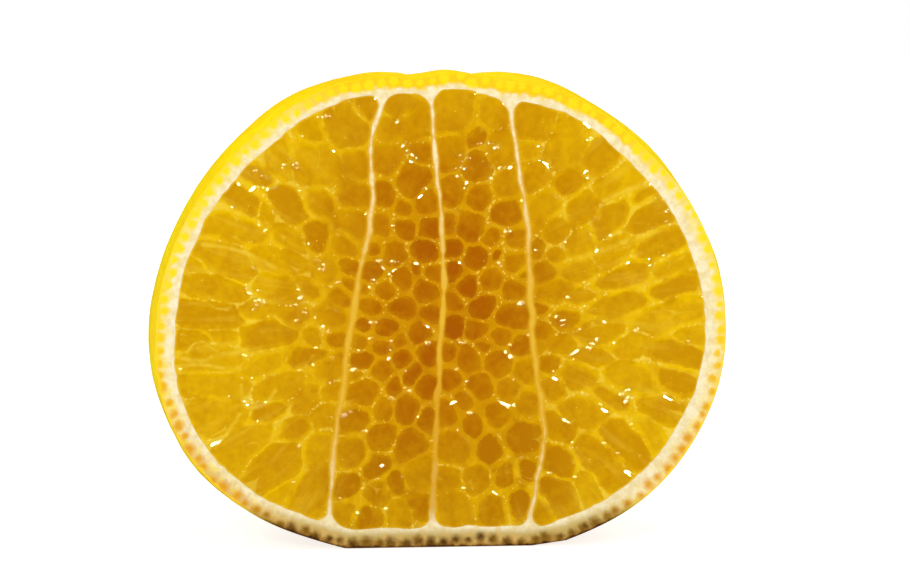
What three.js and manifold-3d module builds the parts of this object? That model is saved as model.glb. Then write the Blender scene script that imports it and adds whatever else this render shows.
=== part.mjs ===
// A mandarin cut lengthwise a little in front of its upright axis. The larger share stands on its own
// flattened end, with the cut face upright: four segments of pulp in white pith and peel.
// Millimetres, +Z up. The cut face looks along -Y and is at y = 0 while the pieces are made.
import * as THREE from "three";
import { ConvexGeometry } from "three/addons/geometries/ConvexGeometry.js";
import { mergeVertices } from "three/addons/utils/BufferGeometryUtils.js";
import Module from "manifold-3d";

// The whole fruit: the radius of its upright section every 30 degrees, anticlockwise from the right (+X).
const SECTION_RADII = [33.6, 31.1, 28.9, 26.4, 28.7, 30.0, 32.4, 33.3, 30.4, 29.0, 31.2, 33.7];
const AXIS_DEPTH = 7; // the fruit's upright axis lies this far behind the cut face
const BASE_DROP = 27.2; // from the fruit's middle down to the flat end that it stands on

// The flat end: the corners [x, y] of its level face, which starts in front of the cut face. Beside each of
// its edges the skin is flattened too and rises slowly: the outline widens by this share each millimetre up.
const BASE_CORNERS = [[-10.6, -1], [11, -1], [5, 18.5], [-6, 18.5]];
const BASE_WIDENING = 0.9;

// Low lumps over the skin, and the furrows and the dimple about the stem end on top.
const LUMP_HEIGHT = 0.13;
const LUMP_WAVES = [9.3, 7.1, 11.7];
const LUMP_STARTS = [1.3, 0.4, 2.1];
const TOP_HEIGHT = SECTION_RADII[3];
const FURROW_COUNT = 5;
const FURROW_DEPTH = 0.5;
const FURROW_REACH = 16;
const FURROW_TURN = THREE.MathUtils.degToRad(288);
const DIMPLE_DEPTH = 0.9;
const DIMPLE_REACH = 5;

// The peel with its pith, a little thicker at the lower right.
const PEEL_THICKNESS = 2.2;
const PEEL_UNEVENNESS = 0.25;
const PEEL_THICKEST_AT = THREE.MathUtils.degToRad(-50);

// The three membranes on the cut face: points [x, z] down the middle of each, from the fruit's middle.
const LEFT_MEMBRANE = [
  [-5.6, 30], [-6.2, 23.9], [-7.4, 19.5], [-7.5, 10.9],
  [-8.9, 3.9], [-10.4, -5.9], [-11.9, -17.3], [-12.6, -30],
];
const MIDDLE_MEMBRANE = [
  [-1.2, 30], [-0.7, 23.7], [-0.1, 15.9], [0.6, 3.6],
  [0.1, -6.6], [-0.5, -21.8], [-0.8, -30],
];
const RIGHT_MEMBRANE = [
  [7.5, 30], [8.1, 23.5], [9, 16.3], [10.2, 9.4], [10.5, 2.1],
  [11.1, -6.7], [12.1, -13.9], [11.4, -19.1], [9.6, -30],
];
const MEMBRANE_THICKNESS = 0.5;
const WEDGE_WIDTH = 1.5; // each side of a membrane widens by this much where it meets the peel
const WEDGE_REACH = 4.5;

// The segments between them: a name and a point inside each, from which its whole outline can be seen.
const SEGMENTS = [
  { name: "segment_far_left", middle: [-19.5, 0], right: LEFT_MEMBRANE },
  { name: "segment_mid_left", middle: [-4.8, 0], left: LEFT_MEMBRANE, right: MIDDLE_MEMBRANE },
  { name: "segment_mid_right", middle: [5.3, 0], left: MIDDLE_MEMBRANE, right: RIGHT_MEMBRANE },
  { name: "segment_far_right", middle: [20.5, -1], left: RIGHT_MEMBRANE },
];
const SEGMENT_GAP = 0.3; // between a segment and the pocket that it lies in
const OUTLINE_STEP = 1.6;

// The juice sacs: small and round about the middle, long towards the sides, larger towards top and bottom.
const SAC_SEED = 2024;
const SAC_TRIES = 2600;
const LARGEST_SAC_RADIUS = 1.6;
const SMALLEST_SAC_RADIUS = 0.75;
const SAC_OVERLAP = 0.86;
const SAC_GROWTH = 0.5; // the sacs' gain in size at the top and bottom
const SAC_GROWTH_HEIGHT = 21;
const SIDE_STRETCH_RADIUS = 9; // the sacs are twice as long as wide about twice this far to the side
const UPRIGHT_STRETCH_RADIUS = 26;
const GROOVE_DEPTH = 0.25; // the grooves between the sacs lie this far behind the cut face
const SAC_SHOULDER_HEIGHT = 0.2; // the sacs' shoulders and crowns stand this far in front of it
const SAC_CROWN_HEIGHT = 0.3;
const SAC_SHOULDER_SHARE = 0.62;

const PEEL_LOOK = { color: 0xf4c20d, roughness: 0.5 };
const PULP_LOOK = { color: 0xdb9a0c, roughness: 0.25 };

// How finely the skin and the flesh behind it are faceted.
const SKIN_DETAIL = 14;
const FLESH_DETAIL = 8;
const REACH = 60; // longer than the fruit in every direction
const WELD = 0.01; // corners nearer than this are one
const SETTLING_ROUNDS = 12;

const wasm = await Module();
wasm.setup();

// A geometry with its corners shared between its faces.
function withSharedCorners(geometry) {
  geometry.deleteAttribute("normal");
  geometry.deleteAttribute("uv");
  return mergeVertices(geometry);
}

// A closed geometry as a solid that can be cut and joined.
function toSolid(geometry) {
  const shared = withSharedCorners(geometry);
  const vertProperties = new Float32Array(shared.getAttribute("position").array);
  const triVerts = new Uint32Array(shared.index.array);
  return new wasm.Manifold(new wasm.Mesh({ numProp: 3, vertProperties, triVerts }));
}

// A solid as a named mesh with a material of its own.
function toMesh(solid, name, look) {
  const { vertProperties, triVerts } = solid.getMesh();
  const geometry = new THREE.BufferGeometry();
  geometry.setAttribute("position", new THREE.BufferAttribute(new Float32Array(vertProperties), 3));
  geometry.setIndex(new THREE.BufferAttribute(new Uint32Array(triVerts), 1));
  const material = new THREE.MeshStandardMaterial({ ...look, metalness: 0, flatShading: true });
  const mesh = new THREE.Mesh(geometry, material);
  mesh.name = name;
  return mesh;
}

// A smooth line from one value to the next with the given slopes, at t from 0 to 1.
function eased(from, to, fromSlope, toSlope, t) {
  const bend = 3 * (to - from) - 2 * fromSlope - toSlope;
  const twist = 2 * (from - to) + fromSlope + toSlope;
  return from + t * (fromSlope + t * (bend + t * twist));
}

// The radius of the whole fruit's upright section at an angle.
function sectionRadius(angle) {
  const count = SECTION_RADII.length;
  const turn = (angle / (2 * Math.PI)) * count;
  const start = Math.floor(turn);
  const at = (k) => SECTION_RADII[(((start + k) % count) + count) % count];
  return eased(at(0), at(1), (at(1) - at(-1)) / 2, (at(2) - at(0)) / 2, turn - start);
}

// Low lumps over the whole skin, with furrows and a dimple at the stem end.
function skinRelief({ x, y, z }) {
  const [a, b, c] = LUMP_WAVES;
  const [p, q, r] = LUMP_STARTS;
  const lumps = Math.sin(a * x + p) * Math.sin(b * z + q) + Math.sin(c * y + r) * Math.cos(a * z - b * x);
  if (z < 0) return LUMP_HEIGHT * lumps;
  const offAxis = Math.hypot(x, y) * TOP_HEIGHT;
  const fade = Math.max(0, 1 - offAxis / FURROW_REACH) * Math.min(1, offAxis / DIMPLE_REACH);
  const furrows = Math.cos(FURROW_COUNT * (Math.atan2(y, x) - FURROW_TURN)) * fade;
  const dimple = Math.exp(-((offAxis / DIMPLE_REACH) ** 2));
  return LUMP_HEIGHT * lumps + FURROW_DEPTH * furrows - DIMPLE_DEPTH * dimple;
}

// The distance from the fruit's middle to its skin in a direction, before its end is flattened. The right and
// left halves of the upright section turn into each other round the back.
function skinRadius(direction) {
  const { x, y, z } = direction;
  const level = Math.hypot(x, y);
  const rightShare = (1 + x / Math.max(level, WELD)) / 2;
  const tilt = Math.atan2(z, level);
  const section = rightShare * sectionRadius(tilt) + (1 - rightShare) * sectionRadius(Math.PI - tilt);
  return section + skinRelief(direction);
}

// The distance from the fruit's middle to its flesh in a direction: under the peel, and flat above the base.
function fleshDistance(direction) {
  const { x, z } = direction;
  const peel = PEEL_THICKNESS + PEEL_UNEVENNESS * Math.cos(Math.atan2(z, x) - PEEL_THICKEST_AT);
  const radius = skinRadius(direction);
  return (-z * radius > BASE_DROP ? BASE_DROP / -z : radius) - peel;
}

// A closed solid round the fruit's middle, from its distance in each direction.
function layerSolid(detail, distanceAt) {
  const geometry = withSharedCorners(new THREE.IcosahedronGeometry(1, detail));
  const position = geometry.getAttribute("position");
  const point = new THREE.Vector3();
  for (let i = 0; i < position.count; i++) {
    point.fromBufferAttribute(position, i).normalize();
    point.multiplyScalar(distanceAt(point));
    position.setXYZ(i, point.x, point.y + AXIS_DEPTH, point.z);
  }
  return toSolid(geometry);
}

// A block that is wider than the fruit, on the level base with a slowly rising face beside each of its edges.
function baseBlock() {
  const level = BASE_CORNERS.map(([x, y]) => new THREE.Vector3(x, y, -BASE_DROP));
  const middle = level.reduce((sum, corner) => sum.add(corner), new THREE.Vector3());
  middle.divideScalar(level.length);
  const top = level.map((corner) => {
    const wide = middle.clone().lerp(corner, 1 + BASE_WIDENING * REACH);
    return wide.setZ(REACH - BASE_DROP);
  });
  return toSolid(new ConvexGeometry([...level, ...top]));
}

// The radius of the flesh on the cut face at an angle about the fruit's middle.
function fleshRadius(angle) {
  let radius = SECTION_RADII[0];
  for (let round = 0; round < SETTLING_ROUNDS; round++) {
    const edge = new THREE.Vector3(radius * Math.cos(angle), -AXIS_DEPTH, radius * Math.sin(angle));
    radius = Math.sqrt(fleshDistance(edge.normalize()) ** 2 - AXIS_DEPTH ** 2);
  }
  return radius;
}

// The x of a membrane's middle at a height, on a smooth line through its points.
function membraneX(points, height) {
  let i = 0;
  while (i < points.length - 2 && points[i + 1][1] > height) i++;
  const slopeAt = (k) => {
    const [x0, z0] = points[Math.max(k - 1, 0)];
    const [x1, z1] = points[Math.min(k + 1, points.length - 1)];
    return (x1 - x0) / (z1 - z0);
  };
  const [x0, z0] = points[i];
  const [x1, z1] = points[i + 1];
  const rise = z1 - z0;
  return eased(x0, x1, slopeAt(i) * rise, slopeAt(i + 1) * rise, (height - z0) / rise);
}

// Whether a point on the cut face is in a segment's pocket: inside the flesh and clear of the membranes,
// which widen into wedges of pith where they meet the peel.
function isInPocket(x, z, { left, right }) {
  const toPeel = fleshRadius(Math.atan2(z, x)) - Math.hypot(x, z);
  if (toPeel < 0) return false;
  const wedge = WEDGE_WIDTH * Math.max(0, 1 - toPeel / WEDGE_REACH) ** 2;
  const half = MEMBRANE_THICKNESS / 2 + wedge;
  return !(left && x < membraneX(left, z) + half) && !(right && x > membraneX(right, z) - half);
}

// A pocket's outline on the cut face, anticlockwise, in nearly even steps.
function pocketOutline(segment) {
  const [x, z] = segment.middle;
  const rim = [];
  for (let degrees = 0; degrees < 360; degrees++) {
    const angle = THREE.MathUtils.degToRad(degrees);
    let [near, far] = [0, REACH];
    while (far - near > WELD / 10) {
      const middle = (near + far) / 2;
      if (isInPocket(x + middle * Math.cos(angle), z + middle * Math.sin(angle), segment)) near = middle;
      else far = middle;
    }
    rim.push(new THREE.Vector3(x + near * Math.cos(angle), z + near * Math.sin(angle), 0));
  }
  const curve = new THREE.CatmullRomCurve3(rim, true, "centripetal");
  curve.arcLengthDivisions = rim.length * 4;
  const steps = Math.round(curve.getLength() / OUTLINE_STEP);
  return curve.getSpacedPoints(steps).slice(1).map((point) => new THREE.Vector2(point.x, point.y));
}

// An outline moved inwards by a gap.
function inset(outline, gap) {
  return outline.map((point, i) => {
    const before = outline[(i + outline.length - 1) % outline.length];
    const after = outline[(i + 1) % outline.length];
    const along = after.clone().sub(before).normalize();
    return new THREE.Vector2(point.x - along.y * gap, point.y + along.x * gap);
  });
}

// A column along Y with the given outline, from in front of the cut face to behind the fruit.
function pocketColumn(outline) {
  const shape = new THREE.Shape(outline.map((point) => new THREE.Vector2(point.x, -point.y)).reverse());
  const geometry = new THREE.ExtrudeGeometry(shape, { depth: 2 * REACH, bevelEnabled: false });
  geometry.rotateX(-Math.PI / 2).translate(0, -REACH, 0);
  return toSolid(geometry);
}

// The sac plane is the cut face drawn in towards its middle, so that sacs of all shapes are round in it.
function stretchRadius(point) {
  const upright = Math.sin(Math.atan2(point.y, point.x)) ** 2;
  return THREE.MathUtils.lerp(SIDE_STRETCH_RADIUS, UPRIGHT_STRETCH_RADIUS, upright);
}

function toSacPlane(point) {
  const stretch = stretchRadius(point);
  return point.clone().setLength(stretch * Math.asinh(point.length() / stretch));
}

function fromSacPlane(point) {
  const stretch = stretchRadius(point);
  return point.clone().setLength(stretch * Math.sinh(point.length() / stretch));
}

// Repeatable random numbers from 0 to 1.
function randomFrom(seed) {
  let state = seed;
  return () => {
    state = (state * 16807) % 2147483647;
    return state / 2147483647;
  };
}

function isInside(point, outline) {
  let inside = false;
  outline.forEach((a, i) => {
    const b = outline[(i + 1) % outline.length];
    if (a.y > point.y === b.y > point.y) return;
    if (point.x < a.x + ((point.y - a.y) / (b.y - a.y)) * (b.x - a.x)) inside = !inside;
  });
  return inside;
}

// The sacs that fill an outline in the sac plane, packed from the largest to the smallest.
function packedSacs(outline, random) {
  const { min, max } = new THREE.Box2().setFromPoints(outline);
  const sacs = [];
  for (let tried = 0; tried < SAC_TRIES; tried++) {
    const x = THREE.MathUtils.lerp(min.x, max.x, random());
    const y = THREE.MathUtils.lerp(min.y, max.y, random());
    const middle = new THREE.Vector2(x, y);
    const size = THREE.MathUtils.lerp(LARGEST_SAC_RADIUS, SMALLEST_SAC_RADIUS, Math.sqrt(tried / SAC_TRIES));
    const radius = size * (1 + SAC_GROWTH * (y / SAC_GROWTH_HEIGHT) ** 2);
    const isClear = sacs.every((sac) => sac.middle.distanceTo(middle) >= SAC_OVERLAP * (sac.radius + radius));
    if (isClear && isInside(middle, outline)) sacs.push({ middle, radius });
  }
  return sacs;
}

// One sac's share of the outline: cut off halfway to each neighbour, nearer to the smaller of the two.
function sacCell(outline, sacs, own) {
  let cell = outline;
  for (const other of sacs) {
    if (other === own) continue;
    const towards = other.middle.clone().sub(own.middle);
    const border = (towards.lengthSq() + own.radius ** 2 - other.radius ** 2) / 2;
    const beyond = (point) => point.clone().sub(own.middle).dot(towards) - border;
    cell = cell.flatMap((a, i) => {
      const b = cell[(i + 1) % cell.length];
      const [past, nextPast] = [beyond(a), beyond(b)];
      const kept = past <= 0 ? [a] : [];
      if (past * nextPast < 0) kept.push(a.clone().lerp(b, past / (past - nextPast)));
      return kept;
    });
  }
  return cell;
}

// The corners of all the sacs' cells on the cut face, with those that nearly meet made one.
function weldedCells(outline, random) {
  const plane = outline.map(toSacPlane);
  const sacs = packedSacs(plane, random);
  const corners = [];
  const welded = (point) => {
    const same = corners.find((corner) => corner.distanceTo(point) < WELD);
    if (!same) corners.push(point);
    return same ?? point;
  };
  return sacs.map((sac) => {
    const ring = sacCell(plane, sacs, sac).map((point) => welded(fromSacPlane(point)));
    return { centre: fromSacPlane(sac.middle), ring: ring.filter((point, i) => point !== ring.at(i - 1)) };
  });
}

// A segment's pulp: juice sacs side by side, each crowned at the cut face, that run on behind it.
function pulpColumn(outline, random) {
  const positions = [];
  const outer = new Set();
  const add = (...corners) => corners.forEach(([point, y]) => positions.push(point.x, y, point.y));
  for (const { centre, ring } of weldedCells(outline, random)) {
    const sum = ring.reduce((total, point) => total.add(point), new THREE.Vector2());
    const peak = isInside(centre, ring) ? centre : sum.divideScalar(ring.length);
    const shoulder = ring.map((point) => peak.clone().lerp(point, SAC_SHOULDER_SHARE));
    ring.forEach((a, i) => {
      const j = (i + 1) % ring.length;
      const b = ring[j];
      const grooveA = [a, GROOVE_DEPTH];
      const grooveB = [b, GROOVE_DEPTH];
      const shoulderA = [shoulder[i], -SAC_SHOULDER_HEIGHT];
      const shoulderB = [shoulder[j], -SAC_SHOULDER_HEIGHT];
      add(grooveA, grooveB, shoulderB);
      add(grooveA, shoulderB, shoulderA);
      add(shoulderA, shoulderB, [peak, -SAC_CROWN_HEIGHT]);
      add([b, REACH], [a, REACH], [peak, REACH]);
      const opposite = [...outer].find((edge) => edge.a === b && edge.b === a);
      if (opposite) outer.delete(opposite);
      else outer.add({ a, b });
    });
  }
  for (const { a, b } of outer) {
    add([b, GROOVE_DEPTH], [a, GROOVE_DEPTH], [a, REACH]);
    add([b, GROOVE_DEPTH], [a, REACH], [b, REACH]);
  }
  const geometry = new THREE.BufferGeometry();
  geometry.setAttribute("position", new THREE.Float32BufferAttribute(positions, 3));
  return toSolid(geometry);
}

// The peel with its pith and the membranes: the fruit behind the cut, with a pocket for each segment.
function makePeel(outlines) {
  const behindCut = new THREE.BoxGeometry(2 * REACH, REACH, 2 * REACH).translate(0, REACH / 2, 0);
  const flesh = layerSolid(FLESH_DETAIL, fleshDistance);
  let peel = layerSolid(SKIN_DETAIL, skinRadius).intersect(toSolid(behindCut)).intersect(baseBlock());
  for (const outline of outlines) peel = peel.subtract(pocketColumn(outline).intersect(flesh));
  return toMesh(peel, "peel_and_membranes", PEEL_LOOK);
}

function makeSegments(outlines) {
  const flesh = layerSolid(FLESH_DETAIL, (direction) => fleshDistance(direction) - SEGMENT_GAP);
  const random = randomFrom(SAC_SEED);
  return SEGMENTS.map(({ name }, i) => {
    const pulp = pulpColumn(inset(outlines[i], SEGMENT_GAP), random);
    return toMesh(pulp.intersect(flesh), name, PULP_LOOK);
  });
}

const outlines = SEGMENTS.map(pocketOutline);
const mandarin = new THREE.Group();
mandarin.add(makePeel(outlines), ...makeSegments(outlines));

// The part's origin is under its middle, on the surface that it stands on.
const box = new THREE.Box3().setFromObject(mandarin);
mandarin.position.set(-(box.min.x + box.max.x) / 2, -(box.min.y + box.max.y) / 2, -box.min.z);

export default mandarin;
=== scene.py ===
"""The looks of a cut mandarin: wet pulp between membranes, pale pith and dimpled yellow skin."""
import math

import bpy
import numpy as np
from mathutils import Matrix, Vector
from mathutils.geometry import delaunay_2d_cdt
from mathutils.kdtree import KDTree


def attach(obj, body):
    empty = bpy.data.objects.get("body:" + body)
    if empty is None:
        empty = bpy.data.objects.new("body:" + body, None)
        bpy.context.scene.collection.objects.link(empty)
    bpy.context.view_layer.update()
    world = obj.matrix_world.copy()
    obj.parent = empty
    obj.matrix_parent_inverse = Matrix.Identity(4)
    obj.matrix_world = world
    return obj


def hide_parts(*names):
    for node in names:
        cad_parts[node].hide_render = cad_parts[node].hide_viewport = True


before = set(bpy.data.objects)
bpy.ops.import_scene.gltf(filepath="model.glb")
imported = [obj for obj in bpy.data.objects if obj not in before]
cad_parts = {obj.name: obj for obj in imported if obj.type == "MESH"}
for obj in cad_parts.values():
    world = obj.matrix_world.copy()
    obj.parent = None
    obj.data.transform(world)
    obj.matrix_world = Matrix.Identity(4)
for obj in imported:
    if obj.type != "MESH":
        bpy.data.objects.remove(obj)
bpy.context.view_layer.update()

# Sizes are in millimetres, as in the solids. The cut face is y = 0 and looks along -Y, and the fruit's middle
# is at x = z = 0. CUT_MIDDLE is where that middle lies in the part's frame.
MM = 0.001
CUT_MIDDLE = np.array([-0.493, -19.947, 27.2])
SECTION_RADII = np.array([33.6, 31.1, 28.9, 26.4, 28.7, 30.0, 32.4, 33.3, 30.4, 29.0, 31.2, 33.7])
MEAN_RADIUS = 31.0
SEARCH_LIMIT = 60.0  # farther than any rim or back that is searched for
AXIS_DEPTH = 7.0
BASE_DROP = 27.2
BASE_CORNERS = np.array([(-10.6, -1), (11, -1), (5, 18.5), (-6, 18.5)])
BASE_WIDENING = 0.9
LUMP_HEIGHT = 0.13
LUMP_WAVES = (9.3, 7.1, 11.7)
LUMP_STARTS = (1.3, 0.4, 2.1)
FURROW_COUNT = 5
FURROW_DEPTH = 0.5
FURROW_REACH = 16.0
FURROW_TURN = math.radians(288)
DIMPLE_DEPTH = 0.9
DIMPLE_REACH = 5.0
PEEL_THICKNESS = 2.2
PEEL_UNEVENNESS = 0.25
PEEL_THICKEST_AT = math.radians(-50)

# The membranes on the cut face: points (x, z) down the middle of each.
LEFT_MEMBRANE = np.array([
    (-5.6, 30), (-6.2, 23.9), (-7.4, 19.5), (-7.5, 10.9),
    (-8.9, 3.9), (-10.4, -5.9), (-11.9, -17.3), (-12.6, -30),
])
MIDDLE_MEMBRANE = np.array([
    (-1.2, 30), (-0.7, 23.7), (-0.1, 15.9), (0.6, 3.6),
    (0.1, -6.6), (-0.5, -21.8), (-0.8, -30),
])
RIGHT_MEMBRANE = np.array([
    (7.5, 30), (8.1, 23.5), (9.0, 16.3), (10.2, 9.4), (10.5, 2.1),
    (11.1, -6.7), (12.1, -13.9), (11.4, -19.1), (9.6, -30),
])
MEMBRANE_THICKNESS = 0.55
MEMBRANE_WIGGLE = (1.9, 0.14)  # (size, reach) of its small bends to either side
CORNER_RADIUS = 1.5  # of the pulp's corners between a membrane and the peel
EDGE_WAVES = ((2.2, 0.12, 3), (0.7, 0.08, 3))  # (size, height, seed) of the waves in the pulp's edges
SEGMENTS = {
    "segment_far_left": {"middle": (-19.5, 0.0), "right": LEFT_MEMBRANE},
    "segment_mid_left": {"middle": (-4.8, 0.0), "left": LEFT_MEMBRANE, "right": MIDDLE_MEMBRANE},
    "segment_mid_right": {"middle": (5.3, 0.0), "left": MIDDLE_MEMBRANE, "right": RIGHT_MEMBRANE},
    "segment_far_right": {"middle": (20.5, -1.0), "left": RIGHT_MEMBRANE},
}

# The spacing of the fine meshes.
PULP_PITCH = 0.13
PITH_PITCH = 0.18
SKIN_PITCH = 0.42
COARSE_PITCH = 2.0
PULP_OVERLAP = 0.06  # the pulp reaches this far into its membranes, so that no gap shows

# The juice sacs. Each is an ellipse that points away from near the fruit's middle, pressed flat by its
# neighbours. They grow between the two distances from the middle that are given for each way.
SAC_TRIES = 3000
SAC_HALF_WIDTH = 1.15
SIZE_SHARES = (0.6, 1.1)  # the smallest and the largest sac at any place, by its usual size
TOP_GROWTH = 0.6
TOP_DISTANCES = (7, 20)
BOTTOM_GROWTH = 0.35
BOTTOM_DISTANCES = (4, 20)
SIDE_GROWTH = 0.2
SIDE_DISTANCES = (10, 22)
SAC_STRETCH = (1.12, 1.25)  # length by width in the middle strips, and how much more there is at the sides
SAC_ORIGIN_DROP = 2  # the sacs point away from a place this far below the fruit's middle
SAC_TURN = math.radians(13)
SAC_OVERLAP = 0.98
SAC_ROOM = 0.4  # from a sac's middle to the pocket's rim, by its half width
SAC_EVENING = 0.7  # how far each sac grows or shrinks to the ground that it fills
GROUND_PITCH = 0.3  # of the points that measure that ground
SAC_SWELL = 0.2  # the sacs reach this share of their half width beyond their ellipses
SAC_NEIGHBOURS = 7
SAC_WARPS = ((2.6, 0.32), (0.9, 0.12))  # (size, reach) of the bends in the sacs' borders
SAC_ROUNDING = 0.6
CORNER_ROUNDING = 0.21
CROWN_HEIGHT = 0.05
GROOVE_DEPTH = 0.05
SAC_OFFSET = 0.03
SAC_TILT = 0.025
SAC_HIGHEST = 0.2
PULP_HIGHEST = 0.3  # with the drops, above the cut face
BACK_OVERLAP = 0.05  # the pulp's back lies this far in the peel

# Wet drops: how many there are by chance in each segment, where clusters of them lie, and one long streak.
DROP_COUNT = 34
DROPS_PER_CLUSTER = 7
CLUSTER_REACH = 0.5
DROP_CLUSTERS = (
    (-13.4, 5.2), (-19.3, 14.8), (-16.6, 16.2), (-13.2, 21.5), (-20.3, 0.9),
    (-15.7, 0.6), (-10.9, -11.4), (-5.1, 4.7), (2.6, 16.2), (5.9, 18.3),
    (10.0, 5.6), (17.2, -4.6), (13.9, -1.9), (26.0, 9.4), (21.4, -10.9),
)
DROP_RADII = (0.12, 0.36)
LONG_DROP_SHARE = 0.35
LONG_DROP_STRETCH = (1.3, 1.9)
DROP_TURNS = (0.4, 1.5)
DROP_FLATNESS = 0.4  # height by half width
STREAK = (-6.5, -18.2, 0.75, 0.26, 1.0)  # x, z, half length, half width and turn

# Pale threads and folds on the pulp: the places (x, z) that each runs through, and its half width.
THREADS = (
    (((-30.2, -4.8), (-28.0, -5.5), (-26.4, -5.7), (-25.0, -4.9), (-23.2, -4.8), (-21.6, -4.4)), 0.45),
    (((-30.0, -6.5), (-27.9, -6.0), (-26.0, -6.0), (-24.3, -6.5), (-22.4, -6.5)), 0.42),
    (((-28.3, -4.7), (-27.4, -3.5), (-26.4, -3.4), (-25.5, -4.1), (-24.7, -4.7)), 0.28),
    (((-26.4, 7.5), (-24.3, 7.2), (-22.6, 6.9), (-20.4, 6.0), (-18.4, 4.8)), 0.45),
    (((-22.2, -8.4), (-22.1, -10.6), (-21.2, -11.1), (-19.4, -10.7), (-18.4, -9.1)), 0.35),
    (((-22.4, -11.7), (-23.5, -13.4), (-25.2, -15.5)), 0.35),
    (((15.7, 5.5), (20.0, 7.0), (24.7, 8.7)), 0.55),
    (((18.8, 12.1), (21.7, 13.5), (24.7, 14.1)), 0.5),
)
THREAD_HEIGHT = 0.06

# The oil glands: their spacing, where the cut goes through them and the pits over them in the skin.
GLAND_SPACING = 1.5
GLAND_SCATTER = 0.3  # by their spacing
GLAND_RADIUS = 0.57
GLAND_SIZES = (0.7, 1.2)  # the smallest and the largest, by that radius
GLAND_DEPTH = 0.68
GLAND_HOLLOW = 0.04
PIT_DEPTH = 0.07
PIT_RADIUS = 0.32

# The fine waves, as (size, height, seed). The skin lies a little inside the solids, and the pith in front.
SKIN_WAVES = ((3.5, 0.05, 11), (1.1, 0.02, 12))
SKIN_INSET = 0.04
PITH_WAVES = ((1.1, 0.02, 21), (0.5, 0.01, 22))
PITH_HEIGHT = 0.02

# The fibres in the pulp have their given width at this distance from the fruit's middle.
FIBRE_REACH = 18.0

# The floor's sizes, in metres, and the colour of the lights that show only as glints.
FLOOR_HALF_WIDTH = 3.0
FLOOR_GAP = 0.0001
GLINT_COLOUR = (1, 0.9, 0.5)

# The camera's place, fitted to the photograph, and the photograph's own scale on the cut face. FRAME_OFFSET
# is how far the photograph's middle lies from the cut's, in pixels.
CAMERA_AZIMUTH = math.radians(-5)
CAMERA_ELEVATION = math.radians(5.5)
CAMERA_DISTANCE = 340.0
PIXELS_PER_MM = 8.86
FRAME_WIDTH = 910
FRAME_OFFSET = (455 - 438, 309 - 293)
SENSOR_WIDTH = 36.0


def random_numbers(seed):
    return np.random.default_rng(seed)


def noise(points, size, seed):
    """Smooth random numbers from -1 to 1, which change over about that size."""
    cells = points / size + 100 * seed + 0.37
    corner = np.floor(cells).astype(np.int64)
    share = cells - corner
    share = share * share * (3 - 2 * share)
    total = np.zeros(len(points))
    primes = np.array([73856093, 19349663, 83492791])[: points.shape[1]]
    for step in np.ndindex(*(2,) * points.shape[1]):
        code = ((corner + step) * primes).sum(1)
        code = (code ^ (code >> 13)) * 1274126177
        code = (code ^ (code >> 16)) & 0xFFFFFF
        weight = np.where(step, share, 1 - share).prod(1)
        total += weight * (code / 0x7FFFFF - 1)
    return total


def waves(points, kinds):
    """The sum of smooth waves, each with a size, a height and a seed."""
    return sum(height * noise(points, size, seed) for size, height, seed in kinds)


def smoothstep(value, low, high):
    share = np.clip((value - low) / (high - low), 0, 1)
    return share * share * (3 - 2 * share)


def eased(start, end, start_slope, end_slope, share):
    bend = 3 * (end - start) - 2 * start_slope - end_slope
    twist = 2 * (start - end) + start_slope + end_slope
    return start + share * (start_slope + share * (bend + share * twist))


def unit(ways):
    return ways / np.linalg.norm(ways, axis=1)[:, None]


def section_radius(angle):
    """The radius of the fruit's upright section."""
    count = len(SECTION_RADII)
    turn = angle / (2 * math.pi) * count
    first = np.floor(turn).astype(int)
    before, start, end, after = (SECTION_RADII[(first + k) % count] for k in (-1, 0, 1, 2))
    return eased(start, end, (end - before) / 2, (after - start) / 2, turn - first)


def skin_relief(way):
    x, y, z = way.T
    a, b, c = LUMP_WAVES
    p, q, r = LUMP_STARTS
    lumps = np.sin(a * x + p) * np.sin(b * z + q) + np.sin(c * y + r) * np.cos(a * z - b * x)
    off_axis = np.hypot(x, y) * SECTION_RADII[3]
    fade = np.maximum(0, 1 - off_axis / FURROW_REACH) * np.minimum(1, off_axis / DIMPLE_REACH)
    furrows = np.cos(FURROW_COUNT * (np.arctan2(y, x) - FURROW_TURN)) * fade
    dimple = np.exp(-((off_axis / DIMPLE_REACH) ** 2))
    return LUMP_HEIGHT * lumps + np.where(z < 0, 0, FURROW_DEPTH * furrows - DIMPLE_DEPTH * dimple)


def whole_radius(way):
    """The distance from the fruit's middle to its skin in each direction, before its end is flattened."""
    x, y, z = way.T
    level = np.hypot(x, y)
    right_share = (1 + x / np.maximum(level, 1e-6)) / 2
    tilt = np.arctan2(z, level)
    section = right_share * section_radius(tilt) + (1 - right_share) * section_radius(math.pi - tilt)
    return section + skin_relief(way)


def level_limit(way):
    """The distance in each direction to the level of the flat end."""
    return np.where(way[:, 2] < 0, BASE_DROP / np.maximum(-way[:, 2], 1e-9), np.inf)


def skin_radius(way):
    """The distance to the skin, with the flat end and the slowly rising faces beside it."""
    radius = np.minimum(whole_radius(way), level_limit(way))
    middle = BASE_CORNERS.mean(0)
    for start, end in zip(BASE_CORNERS, np.roll(BASE_CORNERS, -1, 0)):
        outwards = np.array([end[1] - start[1], start[0] - end[0]])
        outwards /= outwards @ (start - middle)
        climb = way[:, :2] @ outwards - BASE_WIDENING * way[:, 2]
        room = 1 + BASE_WIDENING * BASE_DROP - outwards @ ((0, AXIS_DEPTH) - middle)
        radius = np.where(climb * radius > room, room / np.maximum(climb, 1e-9), radius)
    return radius


def flesh_distance(way):
    """The distance to the flesh under the peel, which is flat above the base."""
    peel = PEEL_THICKNESS + PEEL_UNEVENNESS * np.cos(np.arctan2(way[:, 2], way[:, 0]) - PEEL_THICKEST_AT)
    return np.minimum(whole_radius(way), level_limit(way)) - peel


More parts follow.
